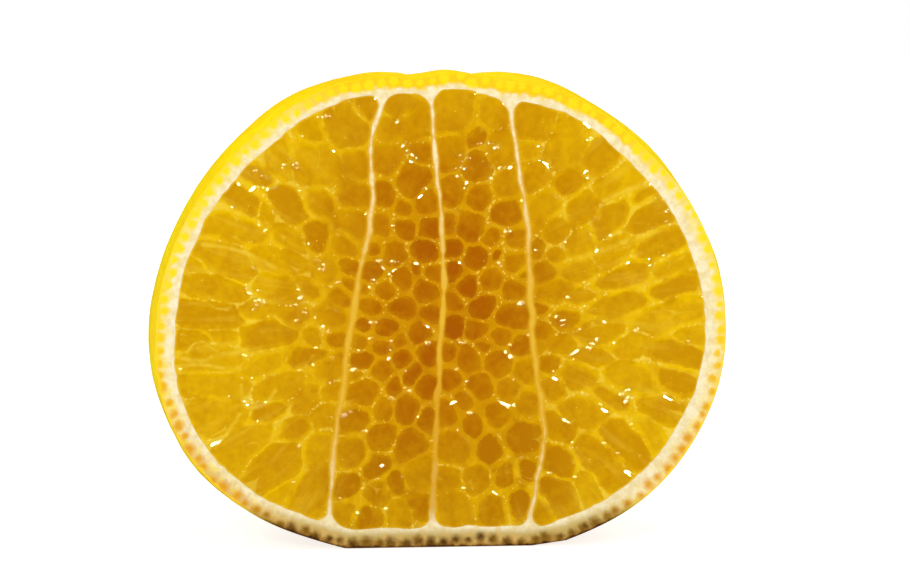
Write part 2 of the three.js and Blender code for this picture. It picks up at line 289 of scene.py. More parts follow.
def cut_radius(angle, distance):
    """The radius of the skin or the flesh on the cut face, from its distance in all directions."""
    radius = np.full(len(angle), SECTION_RADII[0])
    depth = np.full(len(angle), -AXIS_DEPTH)
    for _ in range(12):
        ways = np.column_stack([radius * np.cos(angle), depth, radius * np.sin(angle)])
        radius = np.sqrt(distance(unit(ways)) ** 2 - AXIS_DEPTH**2)
    return radius


TABLE_ANGLES = np.linspace(-math.pi, math.pi, 2881)
SKIN_TABLE = cut_radius(TABLE_ANGLES, skin_radius)
FLESH_TABLE = cut_radius(TABLE_ANGLES, flesh_distance)


def depth_in_peel(points):
    """How far points on the cut face lie under the skin, and how far from the flesh."""
    angle = np.arctan2(points[:, 1], points[:, 0])
    reach = np.hypot(points[:, 0], points[:, 1])
    skin = np.interp(angle, TABLE_ANGLES, SKIN_TABLE)
    flesh = np.interp(angle, TABLE_ANGLES, FLESH_TABLE)
    return skin - reach, reach - flesh


def membrane_x(membrane, height):
    """The x of a membrane's middle at each height."""
    x, z = membrane[::-1].T
    slopes = np.empty(len(x))
    slopes[1:-1] = (x[2:] - x[:-2]) / (z[2:] - z[:-2])
    slopes[0] = (x[1] - x[0]) / (z[1] - z[0])
    slopes[-1] = (x[-1] - x[-2]) / (z[-1] - z[-2])
    i = np.clip(np.searchsorted(z, height) - 1, 0, len(z) - 2)
    rise = z[i + 1] - z[i]
    middle = eased(x[i], x[i + 1], slopes[i] * rise, slopes[i + 1] * rise, (height - z[i]) / rise)
    size, reach = MEMBRANE_WIGGLE
    return middle + reach * noise(height[:, None], size, x[0])


def rounded_corner(one, other):
    """The lesser of two margins, with a round corner where both are small."""
    past_corner = np.hypot(np.maximum(CORNER_RADIUS - one, 0), np.maximum(CORNER_RADIUS - other, 0))
    return np.maximum(CORNER_RADIUS, np.minimum(one, other)) - past_corner


def pocket_margin(points, segment):
    """How far points on the cut face lie inside a segment's pocket. It is negative outside."""
    _, past_flesh = depth_in_peel(points)
    half = MEMBRANE_THICKNESS / 2
    margin = -past_flesh
    if "left" in segment:
        margin = rounded_corner(margin, points[:, 0] - membrane_x(segment["left"], points[:, 1]) - half)
    if "right" in segment:
        margin = rounded_corner(margin, membrane_x(segment["right"], points[:, 1]) - half - points[:, 0])
    return margin + waves(points, EDGE_WAVES)


def spaced(loop, pitch):
    """A closed loop with its points set evenly."""
    closed = np.vstack([loop, loop[:1]])
    along = np.concatenate([[0], np.cumsum(np.linalg.norm(np.diff(closed, axis=0), axis=1))])
    at = np.linspace(0, along[-1], int(along[-1] / pitch), endpoint=False)
    return np.column_stack([np.interp(at, along, column) for column in closed.T])


def pocket_outline(segment, pitch, grown=0.0):
    """A pocket's rim on the cut face, anticlockwise."""
    angle = np.linspace(0, 2 * math.pi, 1440, endpoint=False)
    ways = np.column_stack([np.cos(angle), np.sin(angle)])
    near = np.zeros(len(angle))
    far = np.full(len(angle), SEARCH_LIMIT)
    for _ in range(20):
        middle = (near + far) / 2
        inside = pocket_margin(segment["middle"] + ways * middle[:, None], segment) > -grown
        near = np.where(inside, middle, near)
        far = np.where(inside, far, middle)
    return spaced(segment["middle"] + ways * near[:, None], pitch)


def flesh_back(points):
    """The depth behind the cut face at which a line straight back leaves the flesh."""
    near = np.zeros(len(points))
    far = np.full(len(points), SEARCH_LIMIT)
    for _ in range(24):
        middle = (near + far) / 2
        places = np.column_stack([points[:, 0], middle - AXIS_DEPTH, points[:, 1]])
        inside = np.linalg.norm(places, axis=1) < flesh_distance(unit(places))
        near = np.where(inside, middle, near)
        far = np.where(inside, far, middle)
    return near


def even_points(low, high, pitch):
    """Points in even rows, each row half a step along from the last."""
    rows = np.arange(low[1], high[1], pitch * math.sqrt(3) / 2)
    columns = np.arange(low[0], high[0], pitch)
    x = columns[None, :] + pitch / 2 * (np.arange(len(rows)) % 2)[:, None]
    z = np.broadcast_to(rows[:, None], x.shape)
    return np.column_stack([x.ravel(), z.ravel()])


def nearest(points, others):
    """Each point's nearest among the others, and the distance to it."""
    tree = KDTree(len(others))
    for i, other in enumerate(others):
        tree.insert((*other, 0)[:3], i)
    tree.balance()
    found = [tree.find((*point, 0)[:3]) for point in points]
    return np.array([item[1] for item in found]), np.array([item[2] for item in found])


def triangulated(loops, loose, keep):
    """Triangles between closed loops and loose points, where keep allows a triangle's middle. The corners are
    numbered as in the loops and then the loose points."""
    points = np.vstack([*loops, loose])
    edges = []
    start = 0
    for loop in loops:
        count = len(loop)
        edges += [(start + i, start + (i + 1) % count) for i in range(count)]
        start += count
    made = delaunay_2d_cdt([tuple(point) for point in points], edges, [], 0, 1e-7)
    own = np.array([given[0] for given in made[3]])
    triangles = own[np.array(made[2])]
    middles = points[triangles].mean(1)
    return points, triangles[keep(middles)]


def back_wall(rim, segment, keep):
    """Coarse triangles across a pocket's rim, as in triangulated."""
    inner = even_points(rim.min(0), rim.max(0), COARSE_PITCH)
    inner = inner[pocket_margin(inner, segment) > COARSE_PITCH / 2]
    return triangulated([rim], inner, keep)


def in_part_frame(points):
    return (points + CUT_MIDDLE) * MM


def add_object(name, data):
    made = bpy.data.objects.new(name, data)
    bpy.context.scene.collection.objects.link(made)
    return made


def add_piece(name, points, triangles, fields, materials, kinds, on_edge, nodes):
    """Add a smooth mesh that stands for CAD nodes, with a number at each point for each field. It has a sharp
    edge between neighbours that are both on_edge."""
    mesh = bpy.data.meshes.new(name)
    mesh.from_pydata(in_part_frame(points).tolist(), [], triangles.tolist())
    for field, values in fields.items():
        attribute = mesh.attributes.new(field, "FLOAT", "POINT")
        attribute.data.foreach_set("value", values.astype(np.float32))
    for material in materials:
        mesh.materials.append(material)
    mesh.polygons.foreach_set("material_index", kinds.astype(np.int32))
    mesh.polygons.foreach_set("use_smooth", np.ones(len(triangles), bool))
    ends = np.empty(len(mesh.edges) * 2, np.int32)
    mesh.edges.foreach_get("vertices", ends)
    sharp = mesh.attributes.new("sharp_edge", "BOOLEAN", "EDGE")
    sharp.data.foreach_set("value", on_edge[ends.reshape(-1, 2)].all(1))
    mesh.update()
    piece = add_object(name, mesh)
    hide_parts(*nodes)
    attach(piece, "root")


# The juice sacs.


def bend(points, seed):
    """The small sideways shift of each point that makes the sacs' borders uneven."""
    shift = np.zeros(points.shape)
    for size, reach in SAC_WARPS:
        for axis in (0, 1):
            shift[:, axis] += reach * noise(points, size, seed + axis + size)
    return shift


def sac_coordinates(away, ways, lengths, widths):
    """How far out points are along and across sacs, where 1 is on a sac's rim."""
    along = (away * ways).sum(-1) / lengths
    across = (away[..., 1] * ways[..., 0] - away[..., 0] * ways[..., 1]) / widths
    return along, across


def packed_sacs(segment, seed, scale=1.0):
    """Sacs that fill a segment: the middle, the way, the half length and the half width of each."""
    rim = pocket_outline(segment, 0.5)
    draw = random_numbers(seed)
    spots = draw.uniform(rim.min(0), rim.max(0), (SAC_TRIES, 2))
    at_side = smoothstep(np.abs(spots[:, 0]), *SIDE_DISTANCES)
    at_top = smoothstep(spots[:, 1], *TOP_DISTANCES)
    growth = 1 + TOP_GROWTH * at_top * (1 - at_side) + SIDE_GROWTH * at_side
    growth += BOTTOM_GROWTH * smoothstep(-spots[:, 1], *BOTTOM_DISTANCES)
    smallest, largest = SIZE_SHARES
    share = np.linspace(1, 0, SAC_TRIES) ** 1.5 * draw.uniform(0.6, 1, SAC_TRIES)
    widths = scale * SAC_HALF_WIDTH * growth * (smallest + (largest - smallest) * share)
    lengths = widths * (SAC_STRETCH[0] + SAC_STRETCH[1] * at_side * draw.uniform(0.5, 1.2, SAC_TRIES))
    turns = np.arctan2(spots[:, 1] + SAC_ORIGIN_DROP, spots[:, 0]) + draw.normal(0, SAC_TURN, SAC_TRIES)
    ways = np.column_stack([np.cos(turns), np.sin(turns)])
    kept = []
    for i in np.flatnonzero(pocket_margin(spots, segment) > SAC_ROOM * widths):
        away = spots[kept] - spots[i]
        mine = np.hypot(*sac_coordinates(away, ways[i], lengths[i], widths[i])) * widths[i]
        theirs = np.hypot(*sac_coordinates(away, ways[kept], lengths[kept], widths[kept])) * widths[kept]
        if (mine + theirs >= 2 * SAC_OVERLAP * (widths[i] + widths[kept])).all():
            kept.append(i)
    return evened((spots[kept], ways[kept], lengths[kept], widths[kept]), segment, rim)


def evened(sacs, segment, rim):
    """The same sacs, each moved to the middle of the ground that it fills and grown to its size."""
    middles, ways, lengths, widths = sacs
    ground = even_points(rim.min(0), rim.max(0), GROUND_PITCH)
    ground = ground[pocket_margin(ground, segment) > 0]
    patch = GROUND_PITCH**2 * math.sqrt(3) / 2
    for _ in range(3):
        along, across = sac_coordinates(ground[:, None] - middles, ways, lengths, widths)
        own = (widths * (1 - np.hypot(along, across))).argmax(1)
        filled = np.maximum(np.bincount(own, minlength=len(middles)), 1)
        middles = np.column_stack([np.bincount(own, column, len(middles)) for column in ground.T])
        middles /= filled[:, None]
        growth = np.sqrt(filled * patch / (math.pi * lengths * widths))
        lengths = lengths * growth**SAC_EVENING
        widths = widths * growth**SAC_EVENING
    return middles, ways, lengths, widths


def sac_borders(points, sacs, seed):
    """For each point: its own sac, how far it is from that sac's border, the same with round corners, and the
    way straight from the border."""
    own, border, rounded, inwards = [], [], [], []
    for part in np.array_split(points + bend(points, seed), len(points) // 20000 + 1):
        away = part[:, None] - sacs[0]
        inside = sacs[3] * (1 - np.hypot(*sac_coordinates(away, *sacs[1:])))
        close = np.argpartition(-inside, SAC_NEIGHBOURS, axis=1)[:, :SAC_NEIGHBOURS]
        inside = np.take_along_axis(inside, close, 1)
        order = (-inside).argsort(1)
        close = np.take_along_axis(close, order, 1)
        inside = np.take_along_axis(inside, order, 1)
        middles, ways, lengths, widths = (values[close] for values in sacs)
        along, across = sac_coordinates(part[:, None] - middles, ways, lengths, widths)
        reach = np.maximum(np.hypot(along, across), 1e-6)
        normals = np.stack([-ways[..., 1], ways[..., 0]], -1)
        slope = (along / lengths / reach)[..., None] * ways + (across / widths / reach)[..., None] * normals
        slope *= -widths[..., None]
        turn = slope[:, :1] - slope[:, 1:]
        steepness = np.maximum(np.linalg.norm(turn, axis=2), 0.3)
        distance = (inside[:, :1] - inside[:, 1:]) / steepness
        first = distance.argmin(1)
        rows = np.arange(len(part))
        swollen = inside[:, 0] + SAC_SWELL * widths[:, 0]
        crowded = np.exp(-distance / CORNER_ROUNDING).sum(1) + np.exp(-swollen / CORNER_ROUNDING)
        own.append(close[:, 0])
        border.append(distance[rows, first])
        rounded.append(-CORNER_ROUNDING * np.log(crowded))
        inwards.append(turn[rows, first] / steepness[rows, first][:, None])
    return np.concatenate(own), np.concatenate(border), np.concatenate(rounded), np.vstack(inwards)


def wet_drops(borders, segment, seed):
    """Drops by the sacs' borders and in clusters: the middle, half length, half width and turn of each."""
    draw = random_numbers(seed + 70)
    spots = borders[draw.integers(0, len(borders), DROP_COUNT)] + draw.normal(0, 0.15, (DROP_COUNT, 2))
    beads = np.repeat(DROP_CLUSTERS, DROPS_PER_CLUSTER, axis=0)
    spots = np.vstack([spots, beads + draw.normal(0, CLUSTER_REACH, beads.shape)])
    spots = spots[pocket_margin(spots, segment) > 0.4]
    radius = draw.uniform(*DROP_RADII, len(spots))
    is_long = draw.uniform(0, 1, len(spots)) < LONG_DROP_SHARE
    longer = np.where(is_long, draw.uniform(*LONG_DROP_STRETCH, len(spots)), 1)
    turn = draw.uniform(*DROP_TURNS, len(spots))
    drops = np.column_stack([spots, radius * longer, radius, turn])
    if pocket_margin(np.array([STREAK[:2]]), segment)[0] > 0:
        drops = np.vstack([drops, STREAK])
    return drops


def drop_height(points, drops):
    height = np.zeros(len(points))
    for x, z, length, width, turn in drops:
        away = points - (x, z)
        along = (away @ (math.cos(turn), math.sin(turn))) / length
        across = (away @ (-math.sin(turn), math.cos(turn))) / width
        cap = np.sqrt(np.maximum(0, 1 - along**2 - across**2))
        height = np.maximum(height, DROP_FLATNESS * width * cap)
    return height


def without_corners(line):
    """A line with its corners cut off twice."""
    for _ in range(2):
        cuts = np.stack([0.75 * line[:-1] + 0.25 * line[1:], 0.25 * line[:-1] + 0.75 * line[1:]], 1)
        line = np.vstack([line[:1], cuts.reshape(-1, 2), line[-1:]])
    return line


def thread_share(points):
    """How much of a pale thread there is at each point, from 0 to 1."""
    share = np.zeros(len(points))
    for places, half_width in THREADS:
        line = without_corners(np.array(places))
        distance = np.full(len(points), np.inf)
        for start, end in zip(line, line[1:]):
            run = end - start
            along = np.clip((points - start) @ run / (run @ run), 0, 1)
            distance = np.minimum(distance, np.hypot(*(points - start - along[:, None] * run).T))
        share = np.maximum(share, smoothstep(half_width - distance, 0, half_width))
    return share


def drop_points(drops):
    """Points in rings on each drop, so that it is round."""
    cos = np.cos(drops[:, 4])
    sin = np.sin(drops[:, 4])
    found = [drops[:, :2]]
    for share in (0.45, 0.8, 1.0):
        for angle in np.linspace(0, 2 * math.pi, 12, endpoint=False):
            along = share * drops[:, 2] * math.cos(angle)
            across = share * drops[:, 3] * math.sin(angle)
            shift = np.column_stack([along * cos - across * sin, along * sin + across * cos])
            found.append(drops[:, :2] + shift)
    return np.vstack(found)


def thinned(points, gap):
    """The points without those that nearly meet another."""
    return points[np.unique(np.round(points / gap).astype(int), axis=0, return_index=True)[1]]


def make_pulp(name, segment, seed, material):
    """A segment's pulp: a wet, lumpy front of juice sacs, on a body that runs back to the peel."""
    sacs = packed_sacs(segment, seed)
    middles = sacs[0]
    rim = pocket_outline(segment, PULP_PITCH, PULP_OVERLAP)
    grid = even_points(rim.min(0), rim.max(0), PULP_PITCH)
    grid = grid[pocket_margin(grid, segment) > PULP_PITCH * 0.5 - PULP_OVERLAP]

    # Points near a border are moved onto it, so that the mesh's edges follow the borders.
    _, border, _, inwards = sac_borders(grid, sacs, seed)
    near = border < PULP_PITCH * 0.5
    borders = grid[near] - inwards[near] * border[near, None]
    borders = thinned(borders[pocket_margin(borders, segment) > PULP_PITCH * 0.5], PULP_PITCH * 0.5)
    drops = wet_drops(borders, segment, seed)
    rings = thinned(drop_points(drops), 0.05)
    rings = rings[pocket_margin(rings, segment) > 0.1]
    loose = np.vstack([borders, grid[~near]])
    loose = np.vstack([rings, loose[nearest(loose, rings)[1] > 0.08]])

    def keep(spots):
        return pocket_margin(spots, segment) > -PULP_OVERLAP - 0.02

    front, front_faces = triangulated([rim], loose, keep)
    back, back_faces = back_wall(rim, segment, keep)
    own, border, rounded, _ = sac_borders(front, sacs, seed)
    margin = pocket_margin(front, segment) + PULP_OVERLAP
    thread = thread_share(front)
    draw = random_numbers(seed)
    offset = draw.uniform(-SAC_OFFSET, SAC_OFFSET, len(middles))
    tilt = draw.uniform(-SAC_TILT, SAC_TILT, middles.shape)
    body = CROWN_HEIGHT + offset[own] + (tilt[own] * (front - middles[own])).sum(1)
    body += 0.02 * noise(front, 1.2, seed)
    groove = -GROOVE_DEPTH * (0.6 + 0.4 * noise(front, 1.5, seed + 3))
    height = groove + (body - groove) * smoothstep(border, 0, SAC_ROUNDING) + THREAD_HEIGHT * thread
    height = np.minimum(height, SAC_HIGHEST) * smoothstep(margin, -0.1, 0.45)
    height = np.minimum(height + drop_height(front, drops), PULP_HIGHEST)
    deep = sac_borders(front, packed_sacs(segment, seed + 40, 1.2), seed + 40)[2]
    fields = {
        "edge": rounded,
        "tone": draw.uniform(0, 1, len(middles))[own],
        "gap": draw.uniform(0, 1, len(middles))[own],
        "softness": draw.uniform(0, 1, len(middles))[own],
        "deep": deep,
        "rim": margin,
        "thread": thread,
    }
    points = np.vstack([
        np.column_stack([front[:, 0], -height, front[:, 1]]),
        np.column_stack([back[:, 0], flesh_back(back) + BACK_OVERLAP, back[:, 1]]),
    ])
    count = len(rim)
    here = np.arange(count)
    there = (here + 1) % count
    below = len(front)
    walls = np.vstack([
        np.column_stack([there, here, below + here]),
        np.column_stack([there, below + here, below + there]),
    ])
    triangles = np.vstack([front_faces, walls, below + back_faces[:, ::-1]])
    fields = {field: np.concatenate([values, np.ones(len(back))]) for field, values in fields.items()}
    kinds = np.zeros(len(triangles))
    on_rim = np.arange(len(points)) < count
    piece_name = name.replace("segment", "pulp")
    add_piece(piece_name, points, triangles, fields, [material], kinds, on_rim, [name])


# The peel.


def skin_ways(flat):
    """Directions from the fruit's middle for points of a flat map about the back of the fruit."""
    reach = np.maximum(np.hypot(*flat.T), 1e-9)
    turned = 2 * np.arcsin(np.clip(reach / 2, 0, 1))
    side = np.sin(turned) / reach
    return np.column_stack([flat[:, 0] * side, np.cos(turned), flat[:, 1] * side])


def flat_map(ways):
    reach = np.sqrt(2 * np.maximum(1 - ways[:, 1], 0))
    across = np.maximum(np.hypot(ways[:, 0], ways[:, 2]), 1e-9)
    return ways[:, [0, 2]] * (reach / across)[:, None]


def gland_middles():
    """Directions of the oil glands, spread nearly evenly over the whole skin."""
    count = int(4 * math.pi * MEAN_RADIUS**2 / GLAND_SPACING**2)
    step = np.arange(count) + 0.5
    polar = np.arccos(1 - 2 * step / count)
    turn = math.pi * (1 + math.sqrt(5)) * step
    ways = np.column_stack([np.cos(turn) * np.sin(polar), np.cos(polar), np.sin(turn) * np.sin(polar)])
    return unit(ways + random_numbers(7).normal(0, GLAND_SCATTER * GLAND_SPACING / MEAN_RADIUS, ways.shape))


def cut_glands(edge):
    """The glands that the cut goes through, just under the skin: their middles and radii on the cut face."""
    draw = random_numbers(17)
    spots = spaced(edge, GLAND_SPACING)
    spots += draw.normal(0, 0.16, spots.shape)
    depth = GLAND_DEPTH + draw.normal(0, 0.07, len(spots))
    reach = np.hypot(*spots.T)
    return spots * (1 - depth / reach)[:, None], GLAND_RADIUS * draw.uniform(*GLAND_SIZES, len(spots))


def skin_depth(ways):
    """How far behind the cut face the skin lies in each direction."""
    return ways[:, 1] * skin_radius(ways) + AXIS_DEPTH


def make_skin(edge):
    """The skin behind the cut's rim, made on a flat map about its back: its points and triangles, and how far
    each point is from the nearest oil gland."""
    edge_ways = unit(np.column_stack([edge[:, 0], np.full(len(edge), -AXIS_DEPTH), edge[:, 1]]))
    reach = 1.7
    flat = even_points((-reach, -reach), (reach, reach), SKIN_PITCH / MEAN_RADIUS)
    flat = flat[np.hypot(*flat.T) < reach]
    flat = flat[skin_depth(skin_ways(flat)) > SKIN_PITCH * 0.5]

    def keep(spots):
        return skin_depth(skin_ways(spots)) > -0.02

    flat, triangles = triangulated([flat_map(edge_ways)], flat, keep)
    ways = skin_ways(flat)
    radius = skin_radius(ways)
    gland_distance = nearest(ways, gland_middles())[1] * MEAN_RADIUS
    relief = -PIT_DEPTH * np.exp(-((gland_distance / PIT_RADIUS) ** 2))
    for size, height, seed in SKIN_WAVES:
        relief += height * noise(ways * MEAN_RADIUS, size, seed)
    flattened = smoothstep(whole_radius(ways) - radius, 0.0, 0.15)
    inside_edge = smoothstep(skin_depth(ways), 0.0, 0.5)
    relief = (relief - SKIN_INSET) * inside_edge * (1 - flattened)
    points = ways * (radius + relief)[:, None] + (0, AXIS_DEPTH, 0)
    points[:, 2] = np.maximum(points[:, 2], -BASE_DROP)
    points[: len(edge)] = np.column_stack([edge[:, 0], np.zeros(len(edge)), edge[:, 1]])
    return points, triangles, gland_distance


def make_face(edge, outlines):
    """The cut face, which is pith and membranes between the pockets: its points and triangles, and how far
    each point is under the skin and from a pocket, its share of membrane and its distance from a gland."""

    def in_pocket(spots):
        return np.max([pocket_margin(spots, segment) for segment in SEGMENTS.values()], axis=0)

    grid = even_points((-34, -28), (34, 28), PITH_PITCH)
    grid = grid[(depth_in_peel(grid)[0] > PITH_PITCH * 0.5) & (in_pocket(grid) < -PITH_PITCH * 0.5)]

    def keep(spots):
        return (in_pocket(spots) < 0.02) & (depth_in_peel(spots)[0] > -0.02)

    face, triangles = triangulated([edge, *outlines], grid, keep)
    under_skin, past_flesh = depth_in_peel(face)
    in_membrane = smoothstep(-past_flesh, 0.0, 2.5)
    to_pocket = -in_pocket(face)
    gland_spots, gland_radii = cut_glands(edge)
    gland, gland_away = nearest(face, gland_spots)
    gland_away /= gland_radii[gland]
    ridge = (0.01 + 0.03 * noise(face, 0.6, 23)) * smoothstep(to_pocket, 0, 0.25) * in_membrane
    height = PITH_HEIGHT + waves(face, PITH_WAVES) * smoothstep(to_pocket, 0, 0.3) + ridge
    height -= GLAND_HOLLOW * smoothstep(-gland_away, -1.1, -0.5)
    height *= smoothstep(under_skin, 0, 0.3)
    points = np.column_stack([face[:, 0], -height, face[:, 1]])
    return points, triangles, under_skin, to_pocket, in_membrane, gland_away


def make_peel(materials):
    """Skin, cut pith and membranes, with a pocket for each segment, as one closed mesh."""
    angle = np.linspace(-math.pi, math.pi, 4000, endpoint=False)
    radius = cut_radius(angle, skin_radius)
    edge = spaced(np.column_stack([radius * np.cos(angle), radius * np.sin(angle)]), PITH_PITCH)
    outlines = [pocket_outline(segment, PITH_PITCH) for segment in SEGMENTS.values()]
    skin, skin_faces, gland_distance = make_skin(edge)
    face, face_faces, under_skin, to_pocket, in_membrane, gland_away = make_face(edge, outlines)
    count = len(edge)
    face_index = np.concatenate([np.arange(count), len(skin) + np.arange(count, len(face))])

    # The hidden pockets behind the pulp.
    parts = [skin, face]
    faces = [skin_faces[:, ::-1], face_index[face_faces]]
    kinds = [np.zeros(len(skin_faces)), np.ones(len(face_faces))]
    start = count
    total = len(skin) + len(face)
    for segment, outline in zip(SEGMENTS.values(), outlines):
        back, back_faces = back_wall(outline, segment, lambda spots: pocket_margin(spots, segment) > -0.02)
        parts.append(np.column_stack([back[:, 0], flesh_back(back), back[:, 1]]))
        here = np.arange(len(outline))
        there = (here + 1) % len(outline)
        top_here = face_index[start + here]
        top_there = face_index[start + there]
        faces += [
            np.column_stack([top_here, top_there, total + here]),
            np.column_stack([top_there, total + there, total + here]),
            total + back_faces,
        ]
        kinds.append(np.ones(2 * len(outline) + len(back_faces)))
        start += len(outline)
        total += len(back)
    points = np.vstack(parts)
    triangles = np.vstack(faces)
    rest = len(points) - len(skin) - len(face)

    def joined(on_skin, on_face, behind):
        return np.concatenate([np.broadcast_to(on_skin, len(skin)), on_face, np.full(rest, behind)])

    fields = {
        "under_skin": joined(0.0, under_skin, 3.0),
        "to_pulp": joined(3.0, to_pocket, 0.0),
        "membrane": joined(0.0, in_membrane, 1.0),
        "gland": joined(gland_distance, gland_away, 3.0),
    }
    on_edge = np.zeros(len(points), bool)
    on_edge[face_index[:start]] = True
    kinds = np.concatenate(kinds)
    nodes = ["peel_and_membranes"]
    add_piece("peel", points, triangles, fields, materials, kinds, on_edge, nodes)


# Materials.


def srgb(red, green, blue):
    """A linear colour from one given as on a screen, 0 to 255."""
    shares = [value / 255 for value in (red, green, blue)]
    linear = [share / 12.92 if share <= 0.04045 else ((share + 0.055) / 1.055) ** 2.4 for share in shares]
    return (*linear, 1)


class Nodes:
    """Short calls that build a material's nodes."""

    def __init__(self, name):
        self.material = bpy.data.materials.new(name)
        self.material.use_nodes = True
        self.tree = self.material.node_tree
        self.shader = self.tree.nodes["Principled BSDF"]
        self.place = self.tree.nodes.new("ShaderNodeTexCoord").outputs["Object"]

    def put(self, kind, **inputs):
        node = self.tree.nodes.new(kind)
        self.fill(node, **inputs)
        return node

    def fill(self, node, **inputs):
        for name, value in inputs.items():
            self.give(node.inputs[name.replace("_", " ")], value)

    def give(self, socket, value):
        if isinstance(value, bpy.types.NodeSocket):
            self.tree.links.new(value, socket)
        else:
            socket.default_value = value

    def field(self, name):
        node = self.tree.nodes.new("ShaderNodeAttribute")
        node.attribute_name = name
        return node.outputs["Fac"]

    def sum(self, operation, *values):
        node = self.tree.nodes.new("ShaderNodeMath")
        node.operation = operation
        for socket, value in zip(node.inputs, values):
            self.give(socket, value)
        return node.outputs[0]

    def times(self, one, other):
        return self.sum("MULTIPLY", one, other)

    def between(self, value, low, high, start=0.0, end=1.0):
        """A smooth change from start to end as value goes from low to high."""
        node = self.tree.nodes.new("ShaderNodeMapRange")
        node.interpolation_type = "SMOOTHSTEP"
        self.fill(node, Value=value, From_Min=low, From_Max=high, To_Min=start, To_Max=end)
        return node.outputs[0]

    def mix(self, share, first, second):
        node = self.tree.nodes.new("ShaderNodeMix")
        node.data_type = "RGBA"
        self.give(node.inputs[0], share)
        self.give(node.inputs[6], first)
        self.give(node.inputs[7], second)
        return node.outputs[2]

    def noise(self, size, detail=2.0):
        """Noise from 0 to 1 over about that many millimetres."""
        node = self.put("ShaderNodeTexNoise", Vector=self.place, Scale=1 / (size * MM), Detail=detail)
        return node.outputs[0]

    def less(self, share):
        """What is missing from 1."""
        return self.sum("SUBTRACT", 1, share)

    def length(self, one, other):
        """The length of a line with those two sides."""
        squares = [self.times(side, side) for side in (one, other)]
        return self.sum("SQRT", self.sum("ADD", *squares))

    def fibres(self, width, length):
        """Noise from 0 to 1 in fibres that run outwards on the cut face, with their sizes in millimetres."""
        right, up = self.across()
        reach = self.sum("MAXIMUM", self.length(right, up), 1)
        x = self.sum("DIVIDE", right, self.times(reach, width / FIBRE_REACH))
        y = self.sum("DIVIDE", up, self.times(reach, width / FIBRE_REACH))
        place = self.put("ShaderNodeCombineXYZ", X=x, Y=y, Z=self.sum("DIVIDE", reach, length))
        return self.put("ShaderNodeTexNoise", Vector=place.outputs[0], Scale=1.0, Detail=3.0).outputs[0]

    def across(self):
        """The x and the height on the cut face from the fruit's middle, in millimetres."""
        x, _, z = self.put("ShaderNodeSeparateXYZ", Vector=self.place).outputs
        right = self.sum("SUBTRACT", self.times(x, 1 / MM), CUT_MIDDLE[0])
        up = self.sum("SUBTRACT", self.times(z, 1 / MM), CUT_MIDDLE[2])
        return right, up

    def bump(self, height, distance):
        node = self.put("ShaderNodeBump", Height=height, Distance=distance * MM)
        self.give(self.shader.inputs["Normal"], node.outputs[0])


